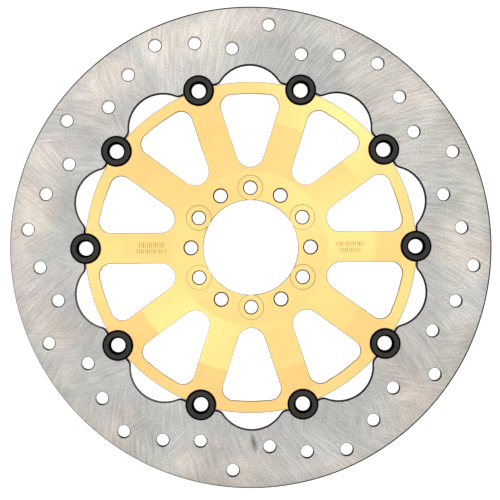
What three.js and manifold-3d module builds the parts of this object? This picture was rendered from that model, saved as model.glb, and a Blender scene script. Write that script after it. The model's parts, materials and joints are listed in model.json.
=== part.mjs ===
// A floating brake disc for a motorcycle front wheel.
//
// A ground steel band surrounds a dished, spoked aluminium carrier. Hollow drive pins sit half in the band
// and half in the carrier, so the band is driven round by the carrier but can float a little along the axle.
// Each pin's flange bears on the front of both parts. A wave washer, a flat washer and a circlip hold the
// pin from behind and press band and carrier against the flange.
//
// Units are millimetres and degrees. The axle is Z. Z = 0 is the face that seats on the wheel hub, and the
// outer side of the disc looks along +Z.

import * as THREE from "three";
import { mergeVertices } from "three/addons/utils/BufferGeometryUtils.js";
import Module from "manifold-3d";

// ---------------------------------------------------------------- driving dimensions

const PINS = 10;
const SECTOR = 360 / PINS;

// Band
const BAND_RADIUS = 160;
const BAND_THICKNESS = 4.5;
const BAND_BACK_Z = 5.5;
const LOBE_RADIUS = 110.45; // inner edge beside each pin
const SCALLOP_CENTRE = 98.2; // distance of a scallop's centre from the axle
const SCALLOP_RADIUS = 22.6;
const SCALLOP_FILLET = 5; // rounds each lobe into its scallops

// Drilling: six holes make one repeat of the pattern, each on one of three circles
const DRILL_RADIUS = 4.05;
const DRILL_COUNT = 36;
const DRILL_FIRST = 5;
const [DRILL_INNER, DRILL_MIDDLE, DRILL_OUTER] = [132.7, 140.55, 148.35];
const DRILL_REPEAT = [DRILL_MIDDLE, DRILL_INNER, DRILL_OUTER, DRILL_INNER, DRILL_MIDDLE, DRILL_OUTER];

// Carrier: a flat hub and a flat rim joined by a shallow cone
const BORE_RADIUS = 31.6;
const HUB_RADIUS = 51.5; // where the flat hub ends and the cone starts
const HUB_THICKNESS = 5;
const CONE_RADIUS = 83.5; // where the cone ends and the flat rim starts
const RIM_RADIUS = 109.95;
const SPOKE_WIDTH = 20.5;
const WINDOW_INNER = 53.8;
const WINDOW_OUTER = 102.1;
const WINDOW_SPREAD = 6.1; // half the angle of a window's outer edge
const WINDOW_SIDE_END = 93.8; // distance from the axle
const WINDOW_CORNER = 7.6;
const BOLTS = 12;
const BOLT_CIRCLE = 39.9;
const BOLT_HOLE_RADIUS = 4.25;
const SPOT_FACE_RADIUS = 8.5; // around every other bolt hole
const SPOT_FACE_DEPTH = 0.4;

// Drive pins and what holds them
const PIN_CIRCLE = 109.6;
const PIN_RADIUS = 7.4;
const NOTCH_RADIUS = 7.6; // half-round seats for the pins in band and carrier
const PIN_BORE = 5.4;
const PIN_WAIST = 4.75; // the bore narrows to this halfway
const PIN_BORE_CHAMFER = 0.8;
const FLANGE_RADIUS = 10.3;
const FLANGE_THICKNESS = 1.55;
const PIN_END_Z = 1.5;
const PLAY = 0.05; // left between faces that touch
const WAVE_SHEET = 0.5;
const WAVE_RISE = 0.8; // lowest to highest point of the sheet's wave
const WAVES = 3;
const [WAVE_INNER, WAVE_OUTER] = [7.8, 9.7];
const WASHER_THICKNESS = 0.8;
const [WASHER_INNER, WASHER_OUTER] = [7.75, 9.8];
const CLIP_THICKNESS = 1;
const [CLIP_INNER, CLIP_OUTER] = [7.0, 8.7];
const CLIP_GAP = 62; // opening of the ring
const CLIP_LUG_RADIUS = 1.55;
const CLIP_LUG_CIRCLE = 8.6;
const CLIP_EYE_RADIUS = 0.65; // for the pliers
const GROOVE_RADIUS = 6.7;

// Steps of the round stretches
const BAND_STEPS = 100;
const CARRIER_STEPS = 60;
const HOLE_STEPS = 12;
const PIN_STEPS = 16;
const WAVE_STEPS = 18;

// ---------------------------------------------------------------- heights along the axle

const BAND_FRONT_Z = BAND_BACK_Z + BAND_THICKNESS;
const FLANGE_Z = BAND_FRONT_Z + PLAY;
const PIN_FRONT_Z = FLANGE_Z + FLANGE_THICKNESS;
const WAVE_Z = BAND_BACK_Z - PLAY - WAVE_SHEET - WAVE_RISE;
const WASHER_Z = WAVE_Z - PLAY - WASHER_THICKNESS;
const CLIP_Z = WASHER_Z - PLAY - CLIP_THICKNESS;

// ---------------------------------------------------------------- outlines

const radians = THREE.MathUtils.degToRad;

function polar(radius, degrees) {
  return new THREE.Vector2(radius * Math.cos(radians(degrees)), radius * Math.sin(radians(degrees)));
}

// Points along an arc, both ends included.
function arc(centre, radius, from, to, steps) {
  return Array.from({ length: steps + 1 }, (_, i) =>
    polar(radius, from + ((to - from) * i) / steps).add(centre),
  );
}

function circle(centre, radius, steps) {
  return arc(centre, radius, 0, 360, steps).slice(0, -1);
}

function turn(points, degrees) {
  const origin = new THREE.Vector2();
  return points.map((p) => p.clone().rotateAround(origin, radians(degrees)));
}

// The band's inner edge from one pin to the next: a half-round seat, a short lobe, a scallop, a short lobe.
function bandInnerSector() {
  const seat = (LOBE_RADIUS ** 2 - PIN_CIRCLE ** 2 - NOTCH_RADIUS ** 2) / (2 * PIN_CIRCLE * NOTCH_RADIUS);
  const seatEnd = THREE.MathUtils.radToDeg(Math.acos(seat));
  const middle = SECTOR / 2;
  const filletCircle = LOBE_RADIUS + SCALLOP_FILLET;
  const filletReach = SCALLOP_RADIUS + SCALLOP_FILLET;
  const spread =
    (filletCircle ** 2 + SCALLOP_CENTRE ** 2 - filletReach ** 2) / (2 * filletCircle * SCALLOP_CENTRE);
  const filletAngle = THREE.MathUtils.radToDeg(Math.acos(spread));
  const scallop = polar(SCALLOP_CENTRE, middle);
  const before = polar(filletCircle, middle - filletAngle);
  const after = polar(filletCircle, middle + filletAngle);
  const lean = THREE.MathUtils.radToDeg(before.clone().sub(scallop).angle()) - 360;
  const scallopHalf = middle - lean;
  return [
    ...arc(polar(PIN_CIRCLE, 0), NOTCH_RADIUS, -seatEnd, seatEnd, HOLE_STEPS),
    ...arc(before, SCALLOP_FILLET, middle - filletAngle - 180, lean - 180, 3),
    ...arc(scallop, SCALLOP_RADIUS, lean, middle + scallopHalf, HOLE_STEPS).slice(1, -1),
    ...arc(after, SCALLOP_FILLET, middle + scallopHalf + 180, middle + filletAngle + 180, 3),
  ];
}

// The anticlockwise arc of a given radius from one point to another.
function arcBetween(from, to, radius, steps) {
  const chord = to.clone().sub(from);
  const depth = Math.sqrt(radius ** 2 - chord.lengthSq() / 4);
  const left = new THREE.Vector2(-chord.y, chord.x).setLength(depth);
  const centre = from.clone().add(to).multiplyScalar(0.5).add(left);
  const start = THREE.MathUtils.radToDeg(from.clone().sub(centre).angle());
  const end = THREE.MathUtils.radToDeg(to.clone().sub(centre).angle());
  return arc(centre, radius, start, end < start ? end + 360 : end, steps);
}

// A carrier window centred on +X: a full round at the hub end, two sides parallel to the spokes, an outer
// edge along the rim, and corners whose arcs meet edge and sides at a slight angle.
function windowOutline() {
  const origin = new THREE.Vector2();
  const lean = radians(SECTOR / 2);
  const half = SPOKE_WIDTH / 2;
  const apex = half / Math.sin(lean);
  const innerX = apex + (WINDOW_INNER - apex) / (1 - Math.sin(lean));
  const side = 90 + SECTOR / 2;
  const along = Math.sqrt(WINDOW_SIDE_END ** 2 - half ** 2);
  const sideEnd = new THREE.Vector2(along, -half).rotateAround(origin, lean);
  const rimEnd = polar(WINDOW_OUTER, WINDOW_SPREAD);
  const mirrored = (point) => new THREE.Vector2(point.x, -point.y);
  return [
    ...arc(origin, WINDOW_OUTER, -WINDOW_SPREAD, WINDOW_SPREAD, 4),
    ...arcBetween(rimEnd, sideEnd, WINDOW_CORNER, 5).slice(1),
    ...arc(new THREE.Vector2(innerX, 0), innerX - WINDOW_INNER, side, 360 - side, 8),
    ...arcBetween(mirrored(sideEnd), mirrored(rimEnd), WINDOW_CORNER, 5).slice(0, -1),
  ];
}

// ---------------------------------------------------------------- solids

const wasm = await Module();
wasm.setup();

function extruded(outline, holes, bottom, top) {
  const shape = new THREE.Shape(outline);
  shape.holes = holes.map((hole) => new THREE.Path(hole));
  const geometry = new THREE.ExtrudeGeometry(shape, { depth: top - bottom, bevelEnabled: false });
  return geometry.translate(0, 0, bottom);
}

// Turns a closed profile of [radius, height] points round Z.
function turned(profile, steps) {
  const points = [...profile, profile[0]].map(([r, z]) => new THREE.Vector2(r, z));
  return new THREE.LatheGeometry(points, steps).rotateX(Math.PI / 2);
}

function toSolid(geometry) {
  const bare = geometry.clone();
  bare.deleteAttribute("normal");
  bare.deleteAttribute("uv");
  const merged = mergeVertices(bare, 1e-4);
  return new wasm.Manifold(
    new wasm.Mesh({
      numProp: 3,
      vertProperties: merged.attributes.position.array,
      triVerts: new Uint32Array(merged.index.array),
    }),
  );
}

function toGeometry(solid) {
  const { vertProperties, triVerts } = solid.getMesh();
  const geometry = new THREE.BufferGeometry();
  geometry.setAttribute("position", new THREE.BufferAttribute(vertProperties, 3));
  geometry.setIndex(new THREE.BufferAttribute(triVerts, 1));
  const flat = geometry.toNonIndexed();
  flat.computeVertexNormals();
  return flat;
}

function bandGeometry() {
  const origin = new THREE.Vector2();
  const sectors = Array.from({ length: PINS }, (_, i) => turn(bandInnerSector(), i * SECTOR)).flat();
  const drilled = Array.from({ length: DRILL_COUNT }, (_, i) => {
    const at = polar(DRILL_REPEAT[i % DRILL_REPEAT.length], DRILL_FIRST + (i * 360) / DRILL_COUNT);
    return circle(at, DRILL_RADIUS, HOLE_STEPS);
  });
  const outer = circle(origin, BAND_RADIUS, BAND_STEPS);
  return extruded(outer, [sectors, ...drilled], BAND_BACK_Z, BAND_FRONT_Z);
}

function carrierGeometry() {
  const blank = toSolid(
    turned(
      [
        [BORE_RADIUS, 0],
        [HUB_RADIUS, 0],
        [CONE_RADIUS, BAND_BACK_Z],
        [RIM_RADIUS, BAND_BACK_Z],
        [RIM_RADIUS, BAND_FRONT_Z],
        [CONE_RADIUS, BAND_FRONT_Z],
        [HUB_RADIUS, HUB_THICKNESS],
        [BORE_RADIUS, HUB_THICKNESS],
      ],
      CARRIER_STEPS,
    ),
  );
  const through = (outline) => toSolid(extruded(outline, [], -1, BAND_FRONT_Z + 1));
  let carrier = blank;
  for (let i = 0; i < PINS; i++) {
    carrier = carrier.subtract(through(turn(windowOutline(), (i + 0.5) * SECTOR)));
    carrier = carrier.subtract(through(circle(polar(PIN_CIRCLE, i * SECTOR), NOTCH_RADIUS, 2 * HOLE_STEPS)));
  }
  for (let i = 0; i < BOLTS; i++) {
    const at = polar(BOLT_CIRCLE, (i * 360) / BOLTS);
    carrier = carrier.subtract(through(circle(at, BOLT_HOLE_RADIUS, HOLE_STEPS)));
    if (i % 2 === 1) {
      const floor = HUB_THICKNESS - SPOT_FACE_DEPTH;
      const spot = extruded(circle(at, SPOT_FACE_RADIUS, 2 * HOLE_STEPS), [], floor, HUB_THICKNESS + 1);
      carrier = carrier.subtract(toSolid(spot));
    }
  }
  return toGeometry(carrier);
}

function pinGeometry() {
  const grooveTop = CLIP_Z + CLIP_THICKNESS + PLAY;
  const grooveBottom = CLIP_Z - PLAY;
  return turned(
    [
      [PIN_BORE, PIN_END_Z],
      [PIN_RADIUS, PIN_END_Z],
      [PIN_RADIUS, grooveBottom],
      [GROOVE_RADIUS, grooveBottom],
      [GROOVE_RADIUS, grooveTop],
      [PIN_RADIUS, grooveTop],
      [PIN_RADIUS, FLANGE_Z],
      [FLANGE_RADIUS, FLANGE_Z],
      [FLANGE_RADIUS, PIN_FRONT_Z],
      [PIN_BORE + PIN_BORE_CHAMFER, PIN_FRONT_Z],
      [PIN_BORE, PIN_FRONT_Z - PIN_BORE_CHAMFER],
      [PIN_WAIST, (PIN_FRONT_Z + PIN_END_Z) / 2],
    ],
    PIN_STEPS,
  );
}

function ringProfile(inner, outer, bottom, thickness) {
  return [
    [inner, bottom],
    [outer, bottom],
    [outer, bottom + thickness],
    [inner, bottom + thickness],
  ];
}

// A flat ring whose points are lifted by a wave that runs round it.
function waveWasherGeometry() {
  const geometry = turned(ringProfile(WAVE_INNER, WAVE_OUTER, WAVE_Z, WAVE_SHEET), WAVE_STEPS);
  const position = geometry.attributes.position;
  for (let i = 0; i < position.count; i++) {
    const around = Math.atan2(position.getY(i), position.getX(i));
    const lift = (WAVE_RISE / 2) * (1 + Math.cos(WAVES * around));
    position.setZ(i, position.getZ(i) + lift);
  }
  return geometry;
}

// An open ring with a drilled lug at each end, its opening towards +X.
function circlipGeometry() {
  const origin = new THREE.Vector2();
  const half = CLIP_GAP / 2;
  const outline = [
    ...arc(origin, CLIP_OUTER, half, 360 - half, 14),
    ...arc(origin, CLIP_INNER, 360 - half, half, 14),
  ];
  let clip = toSolid(extruded(outline, [], CLIP_Z, CLIP_Z + CLIP_THICKNESS));
  const lugs = [half, 360 - half].map((angle) => polar(CLIP_LUG_CIRCLE, angle));
  for (const lug of lugs) {
    const disc = extruded(circle(lug, CLIP_LUG_RADIUS, 10), [], CLIP_Z, CLIP_Z + CLIP_THICKNESS);
    clip = clip.add(toSolid(disc));
  }
  for (const lug of lugs) {
    const eye = extruded(circle(lug, CLIP_EYE_RADIUS, 6), [], CLIP_Z - 1, CLIP_Z + CLIP_THICKNESS + 1);
    clip = clip.subtract(toSolid(eye));
  }
  return toGeometry(clip);
}

// ---------------------------------------------------------------- the assembly

const groundSteel = new THREE.MeshStandardMaterial({ color: 0xcbc7c1, roughness: 0.35, metalness: 1 });
const goldAnodised = new THREE.MeshStandardMaterial({ color: 0xfbe196, roughness: 0.3, metalness: 1 });
const blackPin = new THREE.MeshStandardMaterial({ color: 0x3b3a38, roughness: 0.5, metalness: 0.4 });
const washerSteel = new THREE.MeshStandardMaterial({ color: 0xa9a9a8, roughness: 0.3, metalness: 1 });
const springSteel = new THREE.MeshStandardMaterial({ color: 0x2b2a29, roughness: 0.45, metalness: 0.8 });

function named(name, geometry, material) {
  const mesh = new THREE.Mesh(geometry, material);
  mesh.name = name;
  return mesh;
}

const disc = new THREE.Group();
disc.add(named("brake_band", bandGeometry(), groundSteel));
disc.add(named("carrier", carrierGeometry(), goldAnodised));

for (let i = 0; i < PINS; i++) {
  const number = String(i + 1).padStart(2, "0");
  const pinSet = new THREE.Group();
  pinSet.add(named(`drive_pin_${number}`, pinGeometry(), blackPin));
  pinSet.add(named(`wave_washer_${number}`, waveWasherGeometry(), washerSteel));
  const washer = turned(ringProfile(WASHER_INNER, WASHER_OUTER, WASHER_Z, WASHER_THICKNESS), PIN_STEPS);
  pinSet.add(named(`flat_washer_${number}`, washer, washerSteel));
  pinSet.add(named(`circlip_${number}`, circlipGeometry(), springSteel));
  pinSet.position.set(PIN_CIRCLE, 0, 0);
  const arm = new THREE.Group();
  arm.rotation.z = radians(i * SECTOR);
  arm.add(pinSet);
  disc.add(arm);
}

export default disc;
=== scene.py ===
import json
import math

import bpy
import numpy as np
from mathutils import Matrix, Vector
from mathutils.geometry import delaunay_2d_cdt


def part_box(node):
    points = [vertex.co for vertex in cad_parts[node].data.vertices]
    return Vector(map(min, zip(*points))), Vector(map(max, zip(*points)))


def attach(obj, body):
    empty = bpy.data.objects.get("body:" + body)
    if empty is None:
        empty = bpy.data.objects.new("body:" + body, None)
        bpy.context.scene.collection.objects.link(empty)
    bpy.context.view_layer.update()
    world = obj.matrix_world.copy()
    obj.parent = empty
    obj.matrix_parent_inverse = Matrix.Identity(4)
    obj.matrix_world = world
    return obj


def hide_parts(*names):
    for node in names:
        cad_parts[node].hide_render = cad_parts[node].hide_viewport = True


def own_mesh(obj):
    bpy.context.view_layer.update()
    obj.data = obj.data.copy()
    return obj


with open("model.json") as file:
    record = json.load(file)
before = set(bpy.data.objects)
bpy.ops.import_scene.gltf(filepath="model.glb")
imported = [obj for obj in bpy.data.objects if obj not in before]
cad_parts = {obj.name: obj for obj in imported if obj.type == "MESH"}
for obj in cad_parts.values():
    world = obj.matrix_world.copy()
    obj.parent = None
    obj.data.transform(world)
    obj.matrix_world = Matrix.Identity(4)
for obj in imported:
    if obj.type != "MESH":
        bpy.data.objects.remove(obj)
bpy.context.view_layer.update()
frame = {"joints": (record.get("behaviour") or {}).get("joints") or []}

# ------------------------------------------------------------------ sizes
# Outlines and profiles are in millimetres, and become metres when a mesh is made.

METRES = 0.001


def box_mm(node):
    low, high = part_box(node)
    return low / METRES, high / METRES


band_low, band_high = box_mm("brake_band")
carrier_low, carrier_high = box_mm("carrier")
pin_low, pin_high = box_mm("drive_pin_01")
wave_low, wave_high = box_mm("wave_washer_01")
washer_low, washer_high = box_mm("flat_washer_01")
clip_low, clip_high = box_mm("circlip_01")
pin_joints = [joint for joint in frame["joints"] if joint["type"] == "hinge"]

PINS = len(pin_joints)
SECTOR = 360 / PINS
PIN_CIRCLE = pin_joints[0]["pos_m"][0] / METRES

BAND_RADIUS = band_high.x
LOBE_RADIUS = 110.45
SCALLOP_CENTRE = 98.2
SCALLOP_RADIUS = 22.6
SCALLOP_FILLET = 5
BAND_RIM_CHAMFER = 1.05
BAND_INNER_CHAMFER = 1.0

DRILL_RADIUS = 4.05
DRILL_CHAMFER = 0.62
DRILL_COUNT = 36
DRILL_FIRST = 5
DRILL_INNER, DRILL_MIDDLE, DRILL_OUTER = 132.7, 140.55, 148.35
DRILL_REPEAT = (DRILL_MIDDLE, DRILL_INNER, DRILL_OUTER, DRILL_INNER, DRILL_MIDDLE, DRILL_OUTER)

BORE_RADIUS = 31.6
BORE_STEP = 2.0  # degrees
HUB_RADIUS = 51.5
HUB_THICKNESS = 5
CONE_RADIUS = 83.5
RIM_RADIUS = 109.95
SPOKE_WIDTH = 20.5
WINDOW_INNER = 53.8
WINDOW_OUTER = 102.1
WINDOW_SPREAD = 6.1
WINDOW_SIDE_END = 93.8
WINDOW_CORNER = 7.6
CARRIER_CHAMFER = 0.35
HUB_RINGS = (34, 38, 42, 46)
CONE_RINGS, CONE_RING_MARGIN = 9, 3
RIM_RINGS = (88, 93, 98, 105)
KINK_NEAR, KINK_FAR = 0.25, 0.8  # from where the cone meets hub and rim to the closest rings of points
BOLTS = 12
BOLT_CIRCLE = 39.9
BOLT_HOLE_RADIUS = 4.25
BOLT_CHAMFER = 0.82
SPOT_BOLT_CHAMFER = 0.66
SPOT_FACE_RADIUS = 8.5
SPOT_FACE_DEPTH = 0.4
SPOT_FACE_SLOPE = 0.3

PIN_RADIUS = 7.4
PIN_END_CHAMFER = 0.4
NOTCH_RADIUS = 7.6
PIN_BORE = 5.4
PIN_WAIST = 4.65
PIN_BORE_CHAMFER = 0.8
PIN_BORE_BACK_CHAMFER = 0.3
FLANGE_RADIUS = 10.3
FLANGE_CHAMFER = 1.3
FLANGE_BREAK = 0.1
FLANGE_CORNER_IN, FLANGE_CORNER_UP = 0.12, 0.3  # the small facet between the flange's wall and chamfer
FLANGE_LIFT = 0.05  # between the flange and the band's front face
GROOVE_RADIUS = 6.7
GROOVE_PLAY = 0.05
WAVES = 3
WAVE_SHEET = 0.5
WAVE_INNER, WAVE_OUTER = 7.8, 9.7
WAVE_ROUND_OFF = 0.08
WASHER_INNER, WASHER_OUTER = 7.75, 9.8
WASHER_ROUND_OFF = 0.12
CLIP_INNER, CLIP_OUTER = 7.0, 8.7
CLIP_CHAMFER = 0.08
CLIP_GAP = 62  # degrees
CLIP_LUG_RADIUS = 1.55
CLIP_LUG_CIRCLE = 8.6
CLIP_LUG_INSET = 0.001  # keeps the lug's flat ends off the clip's
CLIP_EYE_RADIUS = 0.65


# ------------------------------------------------------------------ outlines
# A loop is an array of points. Material lies to the left of an outer edge, and loops come anticlockwise:
# plate() turns the holes round.


def polar(radius, degrees):
    angle = np.radians(degrees)
    return np.stack([radius * np.cos(angle), radius * np.sin(angle)], axis=-1)


def arc(centre, radius, start, end, step=3.0):
    steps = max(2, math.ceil(abs(end - start) / step))
    return np.asarray(centre) + polar(radius, np.linspace(start, end, steps + 1))


def circle(centre, radius, step=5.0):
    return arc(centre, radius, 0, 360, step)[:-1]


def turned(points, degrees):
    c, s = math.cos(math.radians(degrees)), math.sin(math.radians(degrees))
    return np.asarray(points) @ np.array([[c, s], [-s, c]])


def direction(vector):
    return math.degrees(math.atan2(vector[1], vector[0]))


def resampled(loop, longest=1.5):
    """The same loop with its long sides divided."""
    points = []
    for start, end in zip(loop, np.roll(loop, -1, axis=0)):
        pieces = max(1, math.ceil(np.linalg.norm(end - start) / longest))
        points.extend(start + (end - start) * k / pieces for k in range(pieces))
    return np.array(points)


def inset(loop, distance):
    """The loop moved to its left, with mitred corners."""
    along = np.roll(loop, -1, axis=0) - loop
    along /= np.linalg.norm(along, axis=1, keepdims=True)
    left = np.stack([-along[:, 1], along[:, 0]], axis=1)
    before = np.roll(left, 1, axis=0)
    mitre = (left + before) / (1 + np.sum(left * before, axis=1, keepdims=True))
    return loop + distance * mitre


def is_inside(points, loops):
    """Even-odd test of points against loops."""
    crossings = np.zeros(len(points), int)
    x, y = points[:, :1], points[:, 1:]
    for loop in loops:
        x1, y1 = loop.T
        x2, y2 = np.roll(loop, -1, axis=0).T
        spans = (y1 > y) != (y2 > y)
        slope = (x2 - x1) / np.where(y2 == y1, 1, y2 - y1)
        crossings += np.sum(spans & (x < x1 + (y - y1) * slope), axis=1)
    return crossings % 2 == 1


def band_inner_edge():
    """From pin to pin: a half-round seat, a short lobe, a scallop and a short lobe."""
    meet = (LOBE_RADIUS**2 - PIN_CIRCLE**2 - NOTCH_RADIUS**2) / (2 * PIN_CIRCLE * NOTCH_RADIUS)
    seat = math.degrees(math.acos(meet))
    middle = SECTOR / 2
    fillet_circle = LOBE_RADIUS + SCALLOP_FILLET
    reach = SCALLOP_RADIUS + SCALLOP_FILLET
    spread = (fillet_circle**2 + SCALLOP_CENTRE**2 - reach**2) / (2 * fillet_circle * SCALLOP_CENTRE)
    fillet_angle = math.degrees(math.acos(spread))
    scallop = polar(SCALLOP_CENTRE, middle)
    before = polar(fillet_circle, middle - fillet_angle)
    after = polar(fillet_circle, middle + fillet_angle)
    lean = direction(before - scallop)
    far = 2 * middle - lean
    sector = np.vstack([
        arc((PIN_CIRCLE, 0), NOTCH_RADIUS, -seat, seat),
        arc(before, SCALLOP_FILLET, middle - fillet_angle - 180, lean - 180, step=8),
        arc(scallop, SCALLOP_RADIUS, lean, far)[1:-1],
        arc(after, SCALLOP_FILLET, far + 180, middle + fillet_angle + 180, step=8),
    ])
    return np.vstack([turned(sector, i * SECTOR) for i in range(PINS)])


def carrier_outer_edge():
    """A circle with a half-round seat for each pin."""
    meet = (RIM_RADIUS**2 + PIN_CIRCLE**2 - NOTCH_RADIUS**2) / (2 * RIM_RADIUS * PIN_CIRCLE)
    seat_angle = math.degrees(math.acos(meet))
    corner = direction(polar(RIM_RADIUS, seat_angle) - np.array([PIN_CIRCLE, 0]))
    sector = np.vstack([
        arc((PIN_CIRCLE, 0), NOTCH_RADIUS, 360 - corner, corner)[1:-1],
        arc((0, 0), RIM_RADIUS, seat_angle, SECTOR - seat_angle, step=1.0),
    ])
    return np.vstack([turned(sector, i * SECTOR) for i in range(PINS)])


def arc_between(start, end, radius, step):
    """The anticlockwise arc from one point to another."""
    chord = end - start
    length = np.linalg.norm(chord)
    left = np.array([-chord[1], chord[0]]) / length
    centre = (start + end) / 2 + left * math.sqrt(radius**2 - length**2 / 4)
    first, last = direction(start - centre), direction(end - centre)
    return arc(centre, radius, first, last if last > first else last + 360, step)


def window_outline():
    """Centred on +X: a full round at the hub, sides parallel to the spokes, an outer edge along the rim,
    and corners whose arcs meet edge and sides at a slight angle."""
    lean = SECTOR / 2
    sine = math.sin(math.radians(lean))
    half = SPOKE_WIDTH / 2
    apex = half / sine
    inner_x = apex + (WINDOW_INNER - apex) / (1 - sine)
    side = 90 + lean
    side_end = turned([[math.sqrt(WINDOW_SIDE_END**2 - half**2), -half]], lean)[0]
    rim_end = polar(WINDOW_OUTER, WINDOW_SPREAD)
    mirror = np.array([1, -1])
    return resampled(np.vstack([
        arc((0, 0), WINDOW_OUTER, -WINDOW_SPREAD, WINDOW_SPREAD, step=1.0),
        arc_between(rim_end, side_end, WINDOW_CORNER, step=6)[1:],
        arc((inner_x, 0), inner_x - WINDOW_INNER, side, 360 - side, step=6),
        arc_between(side_end * mirror, rim_end * mirror, WINDOW_CORNER, step=6)[:-1],
    ]))


# ------------------------------------------------------------------ meshes


SHARP_ANGLE = math.radians(30)


def smooth(mesh):
    mesh.shade_smooth()
    mesh.set_sharp_from_angle(angle=SHARP_ANGLE)


def new_piece(name, vertices, faces, finishes):
    """A mesh object, with one material in finishes for each face."""
    slots = {finish.name: slot for slot, finish in enumerate(dict.fromkeys(finishes))}
    mesh = bpy.data.meshes.new(name)
    mesh.from_pydata([tuple(v) for v in np.asarray(vertices) * METRES], [], faces)
    for finish in slots:
        mesh.materials.append(bpy.data.materials[finish])
    mesh.polygons.foreach_set("material_index", [slots[finish.name] for finish in finishes])
    smooth(mesh)
    piece = bpy.data.objects.new(name, mesh)
    bpy.context.scene.collection.objects.link(piece)
    return piece


def flat(height):
    """A height that is the same at every radius."""
    return lambda radius: np.full_like(radius, height)


def lifted(points, height, shift=0.0):
    radius = np.linalg.norm(points, axis=1)
    return np.column_stack([points, height(radius) + shift])


MERGE_DISTANCE = 1e-5


def cap_triangles(loops, grid):
    """Triangles of the material between the loops, as indices into the loops' points and then the grid's."""
    points = np.vstack([*loops, grid])
    edges = []
    for loop in loops:
        start = len(edges)
        edges += [(start + i, start + (i + 1) % len(loop)) for i in range(len(loop))]
    vectors = [Vector(p) for p in points]
    found, _, faces, sources, _, _ = delaunay_2d_cdt(vectors, edges, [], 0, MERGE_DISTANCE, True)
    source = np.array([s[0] for s in sources])
    faces = np.array(faces)
    middles = np.array([tuple(v) for v in found])[faces].mean(axis=1)
    return source[faces[is_inside(middles, loops)]]


def strip(lower, upper, size):
    """Quads between two rings of points, given by the index of each ring's first point."""
    following = [(i + 1) % size for i in range(size)]
    return [(lower + i, lower + j, upper + j, upper + i) for i, j in enumerate(following)]


def edge_rings(loop, chamfer, top, bottom):
    """The four rings of points of a chamfered edge, from the front face to the back face."""
    inner = inset(loop, chamfer)
    return [
        lifted(inner, top),
        lifted(loop, top, -chamfer),
        lifted(loop, bottom, chamfer),
        lifted(inner, bottom),
    ]


NO_POINTS = np.empty((0, 2))
GRID_MARGIN = 1.0


def plate(name, edges, top, bottom, finish, grid=NO_POINTS):
    """A plate between two heights that depend on the radius.

    Each edge is (loop, chamfer, chamfer's finish, wall's finish): the first is the outside, the others are
    holes. The grid's points are added to both faces.
    """
    vertices, faces, finishes = [], [], []
    front_loops, front_index, back_index = [], [], []
    count = 0
    for number, (loop, chamfer, chamfer_finish, wall_finish) in enumerate(edges):
        rings = edge_rings(loop if number == 0 else loop[::-1], chamfer, top, bottom)
        size = len(loop)
        for k, strip_finish in enumerate((chamfer_finish, wall_finish, chamfer_finish)):
            upper = count + k * size
            faces += strip(upper + size, upper, size)
            finishes += [strip_finish] * size
        vertices += rings
        front_loops.append(rings[0][:, :2])
        front_index.extend(range(count, count + size))
        back_index.extend(range(count + 3 * size, count + 4 * size))
        count += 4 * size
    grid = grid[is_inside(grid, [inset(loop, GRID_MARGIN) for loop in front_loops])]
    vertices += [lifted(grid, top), lifted(grid, bottom)]
    front_index.extend(range(count, count + len(grid)))
    back_index.extend(range(count + len(grid), count + 2 * len(grid)))
    triangles = cap_triangles(front_loops, grid)
    front, back = np.array(front_index)[triangles], np.array(back_index)[triangles]
    faces += [tuple(t) for t in front.tolist()] + [tuple(t[::-1]) for t in back.tolist()]
    finishes += [finish] * (2 * len(triangles))
    return new_piece(name, np.vstack(vertices), faces, finishes)


def lathe(name, profile, finishes, steps=96, wave=None):
    """A ring turned from a closed profile of (radius, height) points that runs anticlockwise, with a finish
    for each of its sides. A wave gives the height to add at each angle."""
    size = len(profile)
    angles = np.arange(steps) * 2 * math.pi / steps
    profile = np.asarray(profile, float)
    vertices = np.zeros((steps, size, 3))
    vertices[:, :, 0] = np.outer(np.cos(angles), profile[:, 0])
    vertices[:, :, 1] = np.outer(np.sin(angles), profile[:, 0])
    vertices[:, :, 2] = profile[:, 1]
    if wave is not None:
        vertices[:, :, 2] += wave(angles)[:, None]
    faces = []
    for i in range(steps):
        here, there = i * size, ((i + 1) % steps) * size
        for k in range(size):
            m = (k + 1) % size
            faces.append((here + k, there + k, there + m, here + m))
    return new_piece(name, vertices.reshape(-1, 3), faces, finishes * steps)


def spindle(name, centre, profile, finishes, end_finish, steps=72):
    """A round solid with flat ends, stacked from (radius, height) pairs that go up, with a finish for each
    side between two of them."""
    angles = np.arange(steps) * 2 * math.pi / steps
    vertices = [
        (centre[0] + r * math.cos(a), centre[1] + r * math.sin(a), z) for r, z in profile for a in angles
    ]
    faces, face_finishes = [tuple(reversed(range(steps)))], [end_finish]
    for k, finish in enumerate(finishes):
        faces += strip(k * steps, (k + 1) * steps, steps)
        face_finishes += [finish] * steps
    top = len(finishes) * steps
    faces.append(tuple(range(top, top + steps)))
    face_finishes.append(end_finish)
    return new_piece(name, vertices, faces, face_finishes)


def combine(piece, other, operation):
    """Cuts or joins two solids. The result keeps both sets of materials, and the other solid goes."""
    modifier = piece.modifiers.new("combine", "BOOLEAN")
    modifier.operation = operation
    modifier.solver = "MANIFOLD"
    modifier.material_mode = "TRANSFER"
    modifier.object = other
    view = bpy.context.evaluated_depsgraph_get()
    result = bpy.data.meshes.new_from_object(piece.evaluated_get(view))
    piece.modifiers.clear()
    piece.data = result
    bpy.data.objects.remove(other)
    smooth(result)


# ------------------------------------------------------------------ materials


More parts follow.
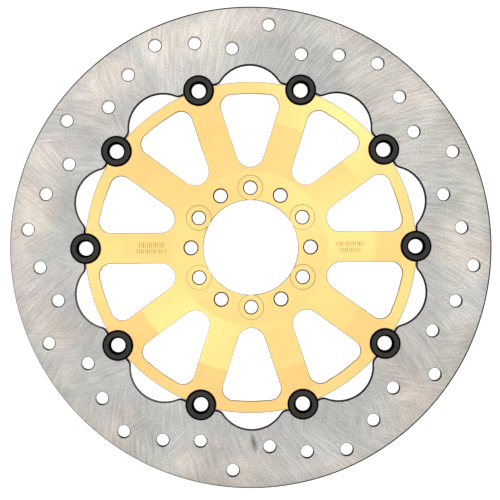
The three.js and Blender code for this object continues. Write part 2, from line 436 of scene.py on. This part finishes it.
class Recipe:
    """A material's nodes. An input takes a number, a colour or another node's output."""

    def __init__(self, name):
        self.material = bpy.data.materials.new(name)
        self.material.use_nodes = True
        self.tree = self.material.node_tree
        self.shader = self.tree.nodes["Principled BSDF"]

    def node(self, kind, output=0, links=None, **settings):
        node = self.tree.nodes.new("ShaderNode" + kind)
        for name, value in settings.items():
            setattr(node, name, value)
        for name, value in (links or {}).items():
            self.plug(node, name, value)
        return node.outputs[output]

    def plug(self, node, name, value):
        socket = node.inputs[name]
        if isinstance(value, bpy.types.NodeSocket):
            self.tree.links.new(value, socket)
        else:
            socket.default_value = value

    def shade(self, **values):
        for name, value in values.items():
            self.plug(self.shader, name.replace("_", " "), value)

    def place(self):
        return self.node("TexCoord", output="Object")

    def maths(self, operation, *values):
        return self.node("Math", operation=operation, links=dict(enumerate(values)))

    def vector(self, operation, *values):
        return self.node("VectorMath", operation=operation, links=dict(enumerate(values)))

    def scaled(self, first, factor):
        return self.node("VectorMath", operation="SCALE", links={0: first, "Scale": factor})

    def length(self, vector):
        return self.node("VectorMath", output="Value", operation="LENGTH", links={0: vector})

    def dot(self, first, second):
        return self.node("VectorMath", output="Value", operation="DOT_PRODUCT", links={0: first, 1: second})

    def flattened(self, vector):
        return self.vector("MULTIPLY", vector, (1, 1, 0))

    def moved(self, vector, height):
        """The same place in another layer of a noise."""
        return self.vector("ADD", vector, (0, 0, height))

    def noise(self, vector, scale, detail=2.0, roughness=0.5, distortion=0.0):
        inputs = {
            "Vector": vector,
            "Scale": scale,
            "Detail": detail,
            "Roughness": roughness,
            "Distortion": distortion,
        }
        return self.node("TexNoise", links=inputs)

    def stretch(self, value, low, high, to_low=0.0, to_high=1.0):
        """The value, with the range from low to high mapped to another and cut off at its ends."""
        inputs = {0: value, 1: low, 2: high, 3: to_low, 4: to_high}
        return self.node("MapRange", links=inputs)

    def mix(self, factor, first, second):
        """Two colours mixed. A Mix node's colour sockets are 6 and 7, and its colour output is 2."""
        node = self.tree.nodes.new("ShaderNodeMix")
        node.data_type = "RGBA"
        self.plug(node, 0, factor)
        self.plug(node, 6, first)
        self.plug(node, 7, second)
        return node.outputs[2]

    def shaded(self, colour, red, green, blue):
        """The colour, with each channel multiplied."""
        return self.vector("MULTIPLY", colour, self.node("CombineXYZ", links={0: red, 1: green, 2: blue}))

    def bump(self, height, strength, distance):
        normal = self.node("Bump", links={"Height": height, "Strength": strength, "Distance": distance})
        self.shade(Normal=normal)


def rgb(red, green, blue):
    """A colour given as sRGB bytes."""
    linear = [
        c / 12.92 if c <= 0.04045 else ((c + 0.055) / 1.055) ** 2.4
        for c in (v / 255 for v in (red, green, blue))
    ]
    return (*linear, 1.0)


def times(colour, factor):
    return tuple(c * factor for c in colour[:3]) + (1.0,)


# Materials measure in metres. A side is a direction from the disc's axis. A layer is the height at which a
# noise is read, so that two noises of one place differ.

WARMTH_LAYER = 7.42
STAIN_LAYER = 9.01
DYE_LAYER = 12.19

GRINDER_RADIUS = 0.160
GRINDER_CENTRES = (0.165, 0.151)  # how far the cup wheel's axis stood from the disc's, in two passes
STROKE_WIDTH = 0.0018
STROKE_LENGTH = 0.014
STROKE_SHARE, GRAIN_SHARE = 0.7, 0.65
LAST_PASS = (-0.5, -0.87, 0)  # towards the side of the disc where the second pass shows more
LAST_PASS_LEAN = 0.13
STROKE_LIGHT_SIDE = (0.94, -0.34, 0)  # towards where painted light makes the strokes stand out most

SCUFF_PLACE = (0.0011, -0.1296, 0.010)
SCUFF_SIZE = (0.0078, 0.0025, 0.002)  # half its length, width and depth
SCUFF_HEADING = math.radians(-77)
SCUFF_STRENGTH = 0.75

FACE_FADE = (0.124, 0.150)  # radii over which the ground face gets lighter on the way out
RIM_FADE = (0.151, 0.159)  # radii over which it darkens again
OPEN_EDGE = (0.1115, 0.1140)  # radii over which the inner edge draws away from the carrier's rim
LIT_EDGE_SIDE = (-0.87, -0.5, 0)  # towards where painted light makes the band's edges lighter
SHADED_SIDE = (-0.59, 0.81, 0)  # the way a drilling's edge faces where its painted shade is darkest

STEP_INNER, STEP_OUTER = 0.0830, 0.0840  # radii on either side of the edge between cone and flat rim
RING_MIDDLE = 0.092  # of the flat rim's deeper ring of dye
RING_FADE = (0.008, 0.011)  # distances from its middle over which it ends
CORNER_RADIUS = 0.098  # of the windows' outer corners
CORNER_FADE = (0.002, 0.004)  # distances from it over which their painted shade ends
LIT_RIM_SIDE = (0.57, 0.82, 0)  # where painted light makes the rim palest and painted shade makes the cone deepest


def grinding_arcs(recipe, grinder_centre, side):
    """Noise drawn out along the arcs that a cup wheel leaves: each point takes its value from the
    direction in which the wheel's centre lay when it passed."""
    flat_place = recipe.flattened(recipe.place())
    radius = recipe.length(flat_place)
    outward = recipe.vector("NORMALIZE", flat_place)
    across = recipe.vector("CROSS_PRODUCT", outward, (0, 0, side))
    share = (grinder_centre**2 - GRINDER_RADIUS**2) / (2 * grinder_centre)
    near = recipe.maths("DIVIDE", share, radius)
    cosine = recipe.maths("MULTIPLY_ADD", radius, 1 / (2 * grinder_centre), near)
    sine = recipe.maths("SQRT", recipe.maths("SUBTRACT", 1.0, recipe.maths("MULTIPLY", cosine, cosine)))
    centre = recipe.vector("ADD", recipe.scaled(outward, cosine), recipe.scaled(across, sine))
    along = recipe.maths("MULTIPLY", radius, STROKE_WIDTH / (STROKE_LENGTH * grinder_centre))
    where = recipe.vector("ADD", centre, recipe.node("CombineXYZ", links={2: along}))
    return recipe.stretch(recipe.noise(where, scale=grinder_centre / STROKE_WIDTH, roughness=0.6), 0.3, 0.7)


def scuffed(recipe, place):
    """1 away from the scuff on the front face, and less towards its middle."""
    links = {"Vector": place, "Location": SCUFF_PLACE, "Rotation": (0, 0, SCUFF_HEADING), "Scale": SCUFF_SIZE}
    local = recipe.node("Mapping", vector_type="TEXTURE", links=links)
    return recipe.stretch(recipe.length(local), 0.0, 1.0, 1 - SCUFF_STRENGTH, 1.0)


def steel_tint(recipe, place, radius):
    """Clouds of warmer and cooler grey, warmer towards the rim."""
    clouds = recipe.noise(
        recipe.moved(place, WARMTH_LAYER), scale=19, detail=3, roughness=0.55, distortion=0.6
    )
    clouds = recipe.stretch(clouds, 0.36, 0.64, -0.5, 0.5)
    warmth = recipe.maths("ADD", clouds, recipe.stretch(radius, 0.120, 0.146, 0.05, 0.53))
    return recipe.mix(warmth, rgb(192, 191, 188), rgb(208, 199, 189))


def second_pass_share(recipe, place, outward, radius):
    """1 in the patches where the second pass shows, and 0 where the first does."""
    lean = recipe.stretch(radius, 0.125, 0.155, -0.04, 0.04)
    lean = recipe.maths("MULTIPLY_ADD", recipe.dot(outward, LAST_PASS), LAST_PASS_LEAN, lean)
    return recipe.stretch(recipe.maths("ADD", recipe.noise(place, scale=38), lean), 0.46, 0.6)


def ground_steel():
    """Ground friction face: crossing grinding arcs over a clouded grey, darker towards its inner edge and at
    the rim, with one scuff."""
    recipe = Recipe("ground_steel")
    place = recipe.place()
    outward = recipe.vector("NORMALIZE", place)
    radius = recipe.length(recipe.flattened(place))

    first = grinding_arcs(recipe, GRINDER_CENTRES[0], 1)
    second = grinding_arcs(recipe, GRINDER_CENTRES[1], -1)
    share = second_pass_share(recipe, place, outward, radius)
    strokes = recipe.node("Mix", links={0: share, 2: first, 3: second})
    grain = recipe.stretch(recipe.noise(place, scale=900), 0.3, 0.7)
    marks = recipe.maths("MULTIPLY_ADD", strokes, STROKE_SHARE, recipe.maths("MULTIPLY", grain, GRAIN_SHARE))
    marks = recipe.maths("SUBTRACT", marks, (STROKE_SHARE + GRAIN_SHARE) / 2)
    # painted light: the strokes show with more contrast towards one side of the disc
    stroke_light = recipe.stretch(recipe.dot(outward, STROKE_LIGHT_SIDE), -1, 1, 0.39, 0.48)

    shade = recipe.maths("MULTIPLY_ADD", marks, stroke_light, 1.0)
    # darker towards the inner edge of the ground face
    inner_darkening = recipe.stretch(radius, *FACE_FADE, 0.885, 0.975)
    rim = recipe.stretch(radius, *RIM_FADE, 1.0, 0.88)
    stain = recipe.noise(recipe.moved(place, STAIN_LAYER), scale=27, detail=3)
    stain = recipe.stretch(stain, 0.3, 0.7, 0.845, 1.185)
    for factor in (inner_darkening, rim, stain, scuffed(recipe, place)):
        shade = recipe.maths("MULTIPLY", shade, factor)
    blush = recipe.stretch(recipe.noise(place, scale=33), 0.34, 0.66, 1.022, 0.982)
    green = recipe.maths("MULTIPLY", shade, blush)
    tint = steel_tint(recipe, place, radius)
    recipe.shade(Base_Color=recipe.shaded(tint, shade, green, shade), Metallic=1.0)
    recipe.shade(Roughness=recipe.stretch(strokes, 0, 1, 0.34, 0.46))
    recipe.bump(recipe.maths("ADD", first, second), 0.25, 0.00004)
    return recipe.material


def oxide_edge(name, colour, lit_colour, roughness):
    """Cut edge left dark by heat, with fine streaks, and made lighter on one side of the disc by painted
    light, which is left off where it lies close to the carrier's rim."""
    recipe = Recipe(name)
    place = recipe.place()
    side = recipe.dot(recipe.vector("NORMALIZE", place), LIT_EDGE_SIDE)
    open_edge = recipe.stretch(recipe.length(place), *OPEN_EDGE)
    # painted light: lighter on one side of the disc, left off where the inner edge is close to the carrier's
    # rim
    painted_light = recipe.maths("POWER", recipe.stretch(side, -0.2, 1.0), 2.0)
    tone = recipe.mix(recipe.maths("MULTIPLY", painted_light, open_edge), colour, lit_colour)
    speckle = recipe.stretch(recipe.noise(place, scale=900, detail=3, roughness=0.6), 0.35, 0.65, 0.0, 0.8)
    streak = recipe.noise(recipe.vector("MULTIPLY", place, (1, 1, 0.1)), scale=700)
    lighter = recipe.vector("MULTIPLY_ADD", tone, (1.9, 1.9, 1.9), (0.004, 0.004, 0.004))
    recipe.shade(Base_Color=recipe.mix(speckle, tone, lighter), Metallic=0.6)
    recipe.shade(Roughness=recipe.stretch(streak, 0.3, 0.7, roughness - 0.08, roughness + 0.1))
    recipe.bump(speckle, 0.3, 0.00003)
    return recipe.material


def drill_edge(name, oxide, painted_light, gloss):
    """Edge of a drilling: black oxide, with painted light on the side that faces away from SHADED_SIDE."""
    recipe = Recipe(name)
    place = recipe.place()
    # painted light and shade: the edge's tone follows which way it faces
    facing = recipe.dot(recipe.node("TexCoord", output="Normal"), SHADED_SIDE)
    tone = recipe.mix(recipe.stretch(facing, -0.45, 0.45), painted_light, oxide)
    speckle = recipe.stretch(recipe.noise(place, scale=900, detail=3, roughness=0.6), 0.35, 0.65, 0.8, 1.2)
    recipe.shade(Base_Color=recipe.shaded(tone, speckle, speckle, speckle), Specular_IOR_Level=gloss)
    recipe.shade(Roughness=recipe.stretch(speckle, 0.8, 1.2, 0.5, 0.65))
    recipe.bump(speckle, 0.3, 0.00003)
    return recipe.material


def gold_anodised(name, anisotropy, cone_painted_shade, rim_painted_light):
    """Satin gold: the dye runs from pale yellow to orange over the part, over fine turned rings, with painted
    light that pales it towards +X and towards one side of the rim, and painted shade that deepens the cone on
    that side.
    """
    recipe = Recipe(name)
    place = recipe.place()
    flat_place = recipe.flattened(place)
    radius = recipe.length(flat_place)

    # painted light: paler towards +X, and on the rim paler towards one side, where the cone gets painted
    # shade
    light_drift = recipe.stretch(recipe.node("SeparateXYZ", output="X", links={0: place}), 0.25, -0.25, 0.0, 0.8)
    lean = recipe.stretch(radius, STEP_INNER, STEP_OUTER, cone_painted_shade, rim_painted_light)
    side = recipe.dot(recipe.vector("NORMALIZE", flat_place), LIT_RIM_SIDE)
    light_drift = recipe.maths("SUBTRACT", light_drift, recipe.maths("MULTIPLY", side, lean))
    from_ring = recipe.maths("ABSOLUTE", recipe.maths("SUBTRACT", radius, RING_MIDDLE))
    ring = recipe.stretch(from_ring, *RING_FADE, 0.22, -0.02)
    cloud = recipe.noise(recipe.moved(place, DYE_LAYER), scale=15, distortion=0.4)
    cloud = recipe.stretch(cloud, 0.35, 0.65, -0.18, 0.32)
    dye = recipe.maths("ADD", light_drift, recipe.maths("ADD", cloud, ring))
    tint = recipe.mix(recipe.stretch(dye, -0.5, 1.5), rgb(252, 233, 151), rgb(249, 195, 123))

    rings = recipe.noise(recipe.node("CombineXYZ", links={0: radius}), scale=1500, detail=3, roughness=0.6)
    grain = recipe.noise(place, scale=1400, detail=3, roughness=0.6)
    shade = recipe.stretch(rings, 0.3, 0.7, 0.985, 1.01)
    recipe.shade(Base_Color=recipe.shaded(tint, shade, shade, shade), Metallic=1.0)
    recipe.shade(Roughness=recipe.stretch(grain, 0.3, 0.7, 0.3, 0.4), Anisotropic=anisotropy)
    recipe.shade(Tangent=recipe.node("Tangent", direction_type="RADIAL", axis="Z"))
    recipe.bump(recipe.maths("ADD", rings, grain), 0.12, 0.00002)
    return recipe.material


def gold_edge(name, pale, dark):
    """Chamfers and walls of the carrier: pale here and dark there in patches over the tool marks, partly
    uneven dye and partly painted highlight and shade, with painted shade in the windows' outer corners."""
    recipe = Recipe(name)
    place = recipe.place()
    radius = recipe.length(recipe.flattened(place))
    from_corner = recipe.maths("ABSOLUTE", recipe.maths("SUBTRACT", radius, CORNER_RADIUS))
    # painted shade in the windows' outer corners
    corner = recipe.stretch(from_corner, *CORNER_FADE, 0.35, 0.0)
    patch = recipe.stretch(recipe.noise(place, scale=30), 0.36, 0.64, 0.0, 1.0)
    dark_share = recipe.node("Math", operation="ADD", use_clamp=True, links={0: patch, 1: corner})
    marks = recipe.noise(recipe.vector("MULTIPLY", place, (1, 1, 4)), scale=500, detail=3, roughness=0.6)
    shade = recipe.stretch(marks, 0.35, 0.65, 0.8, 1.0)
    recipe.shade(Base_Color=recipe.shaded(recipe.mix(dark_share, pale, dark), shade, shade, shade), Metallic=1.0)
    recipe.shade(Roughness=recipe.stretch(marks, 0.3, 0.7, 0.34, 0.5))
    recipe.bump(marks, 0.2, 0.00004)
    return recipe.material


def pin_black(name, colour, roughness, gloss):
    """Hard black anodising, slightly mottled, with a fine grain."""
    recipe = Recipe(name)
    place = recipe.place()
    mottle = recipe.stretch(recipe.noise(place, scale=420, detail=4, roughness=0.6), 0.35, 0.65)
    recipe.shade(Base_Color=recipe.mix(mottle, colour, times(colour, 2.0)), Metallic=0.0)
    recipe.shade(Roughness=recipe.stretch(mottle, 0, 1, roughness, roughness + 0.1), Specular_IOR_Level=gloss)
    recipe.bump(recipe.noise(place, scale=2600), 0.15, 0.00002)
    return recipe.material


def plain_steel(name, colour, roughness):
    """Rolled or plated steel of the washers and clips."""
    recipe = Recipe(name)
    drawn = recipe.vector("MULTIPLY", recipe.place(), (1, 8, 1))
    brushed = recipe.noise(drawn, scale=500, detail=3, roughness=0.6)
    tone = recipe.mix(recipe.stretch(brushed, 0.35, 0.65), times(colour, 0.8), colour)
    recipe.shade(Base_Color=tone, Metallic=1.0)
    recipe.shade(Roughness=recipe.stretch(brushed, 0.3, 0.7, roughness - 0.05, roughness + 0.08))
    recipe.bump(brushed, 0.15, 0.00002)
    return recipe.material


STEEL = ground_steel()
# each oxide edge's second colour is painted light, shown on one side of the disc
STEEL_INNER_EDGE = oxide_edge("oxide_black", rgb(8, 7, 6), rgb(78, 76, 73), 0.6)
STEEL_RIM = oxide_edge("oxide_grey", rgb(10, 9, 10), rgb(140, 137, 133), 0.5)
# the drillings' edges: black oxide, with painted light in the paler colour on one side
DRILL_EDGE = drill_edge("drill_edge", rgb(6, 6, 6), rgb(156, 153, 149), 0.1)
RIM_WALL = oxide_edge("rim_wall", rgb(58, 57, 56), rgb(74, 73, 71), 0.45)
# the last two numbers: painted shade on the cone and painted light on the rim, towards one side
GOLD = gold_anodised("gold_anodised", 0.72, -0.19, 0.29)
GOLD_HUB = gold_anodised("gold_hub", 0.5, 0.0, 0.0)
# the chamfers' grey-blue and dark grey, and the bolt holes' near-black edges, are painted highlight and shade
GOLD_EDGE = gold_edge("gold_edge", rgb(184, 188, 198), rgb(62, 64, 72))
GOLD_WALL = gold_edge("gold_wall", rgb(226, 190, 112), rgb(168, 134, 76))
BOLT_RIM = gold_edge("bolt_rim", rgb(44, 36, 18), rgb(22, 18, 9))
PIN_FACE = pin_black("pin_face", rgb(26, 25, 22), 0.42, 0.3)
# the pins' other surfaces: a darker copy of the black anodising with no gloss, painted shade where the
# flange's chamfer shows dark
PIN_EDGE = pin_black("pin_edge", rgb(3, 3, 3), 0.5, 0.0)
SPRING_STEEL = plain_steel("spring_steel", rgb(186, 184, 180), 0.3)
WASHER_STEEL = plain_steel("washer_steel", rgb(196, 196, 196), 0.28)
CLIP_STEEL = plain_steel("clip_steel", rgb(58, 56, 54), 0.42)
ETCHED = gold_edge("etched", rgb(222, 190, 122), rgb(196, 162, 98))


# ------------------------------------------------------------------ band and carrier


def band():
    edges = [
        (circle((0, 0), BAND_RADIUS, step=1.0), BAND_RIM_CHAMFER, STEEL_RIM, RIM_WALL),
        (band_inner_edge(), BAND_INNER_CHAMFER, STEEL_INNER_EDGE, STEEL_INNER_EDGE),
    ]
    for i in range(DRILL_COUNT):
        centre = polar(DRILL_REPEAT[i % len(DRILL_REPEAT)], DRILL_FIRST + i * 360 / DRILL_COUNT)
        edges.append((circle(centre, DRILL_RADIUS), DRILL_CHAMFER, DRILL_EDGE, DRILL_EDGE))
    return plate("band", edges, flat(band_high.z), flat(band_low.z), STEEL)


def carrier_top(radius):
    return np.interp(radius, [HUB_RADIUS, CONE_RADIUS], [HUB_THICKNESS, carrier_high.z])


def carrier_bottom(radius):
    return np.interp(radius, [HUB_RADIUS, CONE_RADIUS], [carrier_low.z, band_low.z])


def carrier_grid():
    """Points in rings, so that the cone is round. The rings draw close where it meets hub and rim."""
    radii = list(HUB_RINGS)
    for kink in (HUB_RADIUS, CONE_RADIUS):
        radii += [kink - KINK_FAR, kink - KINK_NEAR, kink + KINK_NEAR, kink + KINK_FAR]
    radii += list(np.linspace(HUB_RADIUS + CONE_RING_MARGIN, CONE_RADIUS - CONE_RING_MARGIN, CONE_RINGS))
    radii += RIM_RINGS
    return np.vstack([circle((0, 0), radius, step=2.0) for radius in radii])


def bolt_cutter(centre, spotted):
    face = HUB_THICKNESS - (SPOT_FACE_DEPTH if spotted else 0)
    radius, past = BOLT_HOLE_RADIUS, 2.0
    chamfer = SPOT_BOLT_CHAMFER if spotted else BOLT_CHAMFER
    profile = [
        (radius + chamfer + past, -past),
        (radius, chamfer),
        (radius, face - chamfer),
        (radius + chamfer, face),
    ]
    finishes = [BOLT_RIM, GOLD_WALL, BOLT_RIM]
    if spotted:
        profile += [
            (SPOT_FACE_RADIUS - SPOT_FACE_SLOPE, face),
            (SPOT_FACE_RADIUS, HUB_THICKNESS),
            (SPOT_FACE_RADIUS, HUB_THICKNESS + past),
        ]
        finishes += [GOLD_HUB, GOLD_EDGE, GOLD_HUB]
    else:
        profile.append((radius + chamfer + past, face + past))
        finishes.append(BOLT_RIM)
    return spindle("bolt_cutter", centre, profile, finishes, GOLD_HUB)


def carrier():
    window = window_outline()
    loops = [carrier_outer_edge(), circle((0, 0), BORE_RADIUS, step=BORE_STEP)]
    loops += [turned(window, (i + 0.5) * SECTOR) for i in range(PINS)]
    edges = [(loop, CARRIER_CHAMFER, GOLD_EDGE, GOLD_WALL) for loop in loops]
    piece = plate("spider", edges, carrier_top, carrier_bottom, GOLD, carrier_grid())
    materials = piece.data.materials
    hub_slot = len(materials)
    gold_slot = materials.find(GOLD.name)
    materials.append(GOLD_HUB)
    for face in piece.data.polygons:
        on_hub = face.center.to_2d().length < (HUB_RADIUS + KINK_NEAR) * METRES
        if face.material_index == gold_slot and on_hub:
            face.material_index = hub_slot
    for i in range(BOLTS):
        combine(piece, bolt_cutter(polar(BOLT_CIRCLE, i * 360 / BOLTS), spotted=i % 2 == 1), "DIFFERENCE")
    return piece


# ------------------------------------------------------------------ drive pins


def drive_pin():
    end, front = pin_low.z, pin_high.z
    shoulder = band_high.z + FLANGE_LIFT
    groove_low, groove_high = clip_low.z - GROOVE_PLAY, clip_high.z + GROOVE_PLAY
    edge = front - FLANGE_CHAMFER
    face_start = (FLANGE_RADIUS - FLANGE_CHAMFER, front)
    profile = [
        (PIN_BORE + PIN_BORE_BACK_CHAMFER, end),
        (PIN_RADIUS - PIN_END_CHAMFER, end),
        (PIN_RADIUS, end + PIN_END_CHAMFER),
        (PIN_RADIUS, groove_low),
        (GROOVE_RADIUS, groove_low),
        (GROOVE_RADIUS, groove_high),
        (PIN_RADIUS, groove_high),
        (PIN_RADIUS, shoulder),
        (FLANGE_RADIUS - FLANGE_BREAK, shoulder),
        (FLANGE_RADIUS, shoulder + FLANGE_BREAK),
        (FLANGE_RADIUS, edge + FLANGE_BREAK),
        (FLANGE_RADIUS - FLANGE_CORNER_IN, edge + FLANGE_CORNER_UP),
        face_start,
        (PIN_BORE + PIN_BORE_CHAMFER, front),
        (PIN_BORE, front - PIN_BORE_CHAMFER),
        (PIN_WAIST, (front + end) / 2),
        (PIN_BORE, end + PIN_BORE_BACK_CHAMFER),
    ]
    finishes = [PIN_FACE if point is face_start else PIN_EDGE for point in profile]
    return lathe("pin", profile, finishes)


def ring_profile(inner, outer, bottom, top, round_off):
    return [
        (inner, bottom + round_off),
        (inner + round_off, bottom),
        (outer - round_off, bottom),
        (outer, bottom + round_off),
        (outer, top - round_off),
        (outer - round_off, top),
        (inner + round_off, top),
        (inner, top - round_off),
    ]


def wave_washer():
    rise = wave_high.z - wave_low.z - WAVE_SHEET
    top = wave_low.z + WAVE_SHEET
    profile = ring_profile(WAVE_INNER, WAVE_OUTER, wave_low.z, top, WAVE_ROUND_OFF)
    finishes = [SPRING_STEEL] * len(profile)
    return lathe("wave", profile, finishes, wave=lambda angle: rise / 2 * (1 + np.cos(WAVES * angle)))


def flat_washer():
    low, high = washer_low.z, washer_high.z
    profile = ring_profile(WASHER_INNER, WASHER_OUTER, low, high, WASHER_ROUND_OFF)
    return lathe("washer", profile, [WASHER_STEEL] * len(profile))


def circlip():
    """An open ring with a drilled lug at each end, its opening towards +X."""
    half = CLIP_GAP / 2
    outline = np.vstack([
        arc((0, 0), CLIP_OUTER, half, 360 - half, step=4),
        arc((0, 0), CLIP_INNER, 360 - half, half, step=4),
    ])
    bottom, top, past = clip_low.z, clip_high.z, 1
    edges = [(outline, CLIP_CHAMFER, CLIP_STEEL, CLIP_STEEL)]
    clip = plate("clip", edges, flat(top), flat(bottom), CLIP_STEEL)
    lugs = [polar(CLIP_LUG_CIRCLE, angle) for angle in (half, 360 - half)]
    for lug in lugs:
        disc = [(CLIP_LUG_RADIUS, bottom + CLIP_LUG_INSET), (CLIP_LUG_RADIUS, top - CLIP_LUG_INSET)]
        combine(clip, spindle("lug", lug, disc, [CLIP_STEEL], CLIP_STEEL, steps=48), "UNION")
    for lug in lugs:
        eye = [(CLIP_EYE_RADIUS, bottom - past), (CLIP_EYE_RADIUS, top + past)]
        combine(clip, spindle("eye", lug, eye, [CLIP_STEEL], CLIP_STEEL, steps=32), "DIFFERENCE")
    return clip


# ------------------------------------------------------------------ etched marks

MARK_ROWS = (  # middle of the row, number of bars, bar height
    ((-66.0, 2.0), 13, 3.3),
    ((-66.0, -2.2), 15, 2.9),
    ((66.2, 2.1), 14, 2.9),
    ((66.5, -2.0), 10, 2.7),
)
MARK_PITCH = 1.35
MARK_WIDTHS = (0.5, 0.42, 0.75)  # repeated along each row
MARK_SUNK, MARK_RISE = 0.1, 0.02  # below and above the carrier's front


def etched_marks():
    """Rows of plain bars on two opposite spokes."""
    vertices, faces = [], []
    for (x, y), count, height in MARK_ROWS:
        for i in range(count):
            width = MARK_WIDTHS[i % len(MARK_WIDTHS)]
            left = x + (i - (count - 1) / 2) * MARK_PITCH - width / 2
            corners = np.array([
                (left, y - height / 2),
                (left + width, y - height / 2),
                (left + width, y + height / 2),
                (left, y + height / 2),
            ])
            start = len(vertices)
            vertices += [*lifted(corners, carrier_top, -MARK_SUNK), *lifted(corners, carrier_top, MARK_RISE)]
            below = range(start, start + 4)
            above = range(start + 4, start + 8)
            faces += [tuple(reversed(below)), tuple(above)]
            faces += [(below[k], below[(k + 1) % 4], above[(k + 1) % 4], above[k]) for k in range(4)]
    return new_piece("marks", vertices, faces, [ETCHED] * len(faces))


# ------------------------------------------------------------------ the object


def place_on(piece, body, slot, *nodes):
    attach(piece, body)
    if nodes:
        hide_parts(*nodes)


place_on(band(), "band", "ground_steel", "brake_band")
place_on(carrier(), "carrier", "gold_anodised", "carrier")
place_on(etched_marks(), "carrier", "gold_anodised")

originals = {
    "drive_pin": (drive_pin(), "pin_black"),
    "wave_washer": (wave_washer(), "spring_washer_steel"),
    "flat_washer": (flat_washer(), "washer_steel"),
    "circlip": (circlip(), "circlip_steel"),
}
for i, joint in enumerate(pin_joints):
    number = f"{i + 1:02d}"
    turn = Matrix.Rotation(math.radians(i * SECTOR), 4, "Z")
    for kind, (original, slot) in originals.items():
        piece = bpy.data.objects.new(f"fine_{kind}_{number}", original.data.copy())
        bpy.context.scene.collection.objects.link(piece)
        piece.data.transform(turn @ Matrix.Translation((PIN_CIRCLE * METRES, 0, 0)))
        place_on(piece, joint["child"], slot, f"{kind}_{number}")
        if kind == "wave_washer":
            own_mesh(piece)
for original, _ in originals.values():
    bpy.data.objects.remove(original)


# ------------------------------------------------------------------ floor, light and camera


FLOOR_HALF = 2.0
FLOOR_GLOW = 0.95
KEY_PLACE = (-0.57, 0.99, 1.3)
KEY_SIZE = 0.8
KEY_POWER = 6
SKY_STRENGTH = 1.08
CAMERA_HEIGHT = 0.9  # above the band's front face
CAMERA_SHIFT = (-0.00053, -0.00173)  # metres off the disc's axis
CAMERA_ROLL = -0.42  # degrees
CAMERA_REACH = 20
SENSOR_WIDTH = 36  # millimetres
FRAME_SHARE = 0.9646  # how much of half the frame the band's radius fills


def floor():
    """A faintly mottled board that glows, like a light table."""
    recipe = Recipe("floor")
    tone = recipe.stretch(recipe.noise(recipe.place(), scale=3), 0.3, 0.7)
    colour = recipe.mix(tone, rgb(150, 150, 150), rgb(158, 158, 158))
    recipe.shade(Base_Color=colour, Roughness=0.8, Specular_IOR_Level=0.0)
    recipe.shade(Emission_Color=(1, 1, 1, 1), Emission_Strength=FLOOR_GLOW)
    corners = [(x * FLOOR_HALF, y * FLOOR_HALF, 0) for x, y in ((-1, -1), (1, -1), (1, 1), (-1, 1))]
    mesh = bpy.data.meshes.new("floor")
    mesh.from_pydata(corners, [], [(0, 1, 2, 3)])
    mesh.materials.append(recipe.material)
    plane = bpy.data.objects.new("floor", mesh)
    bpy.context.scene.collection.objects.link(plane)


def softbox(name, place, size, power):
    light = bpy.data.lights.new(name, "AREA")
    light.shape = "DISK"
    light.size = size
    light.energy = power
    lamp = bpy.data.objects.new(name, light)
    lamp.location = place
    lamp.rotation_euler = (-Vector(place)).to_track_quat("-Z", "Y").to_euler()
    bpy.context.scene.collection.objects.link(lamp)


def sky():
    world = bpy.data.worlds.new("studio")
    world.use_nodes = True
    background = world.node_tree.nodes["Background"]
    background.inputs["Color"].default_value = (1, 1, 1, 1)
    background.inputs["Strength"].default_value = SKY_STRENGTH
    bpy.context.scene.world = world


def camera():
    lens = bpy.data.cameras.new("camera")
    lens.sensor_width = SENSOR_WIDTH
    half_frame = BAND_RADIUS * METRES / FRAME_SHARE
    lens.lens = SENSOR_WIDTH / 2 * CAMERA_HEIGHT / half_frame
    lens.clip_end = CAMERA_REACH
    viewer = bpy.data.objects.new("camera", lens)
    viewer.location = (*CAMERA_SHIFT, band_high.z * METRES + CAMERA_HEIGHT)
    viewer.rotation_euler = (0, 0, math.radians(CAMERA_ROLL))
    bpy.context.scene.collection.objects.link(viewer)
    bpy.context.scene.camera = viewer


floor()
softbox("key", KEY_PLACE, KEY_SIZE, KEY_POWER)
sky()
camera()
bpy.context.scene.view_settings.view_transform = "Standard"
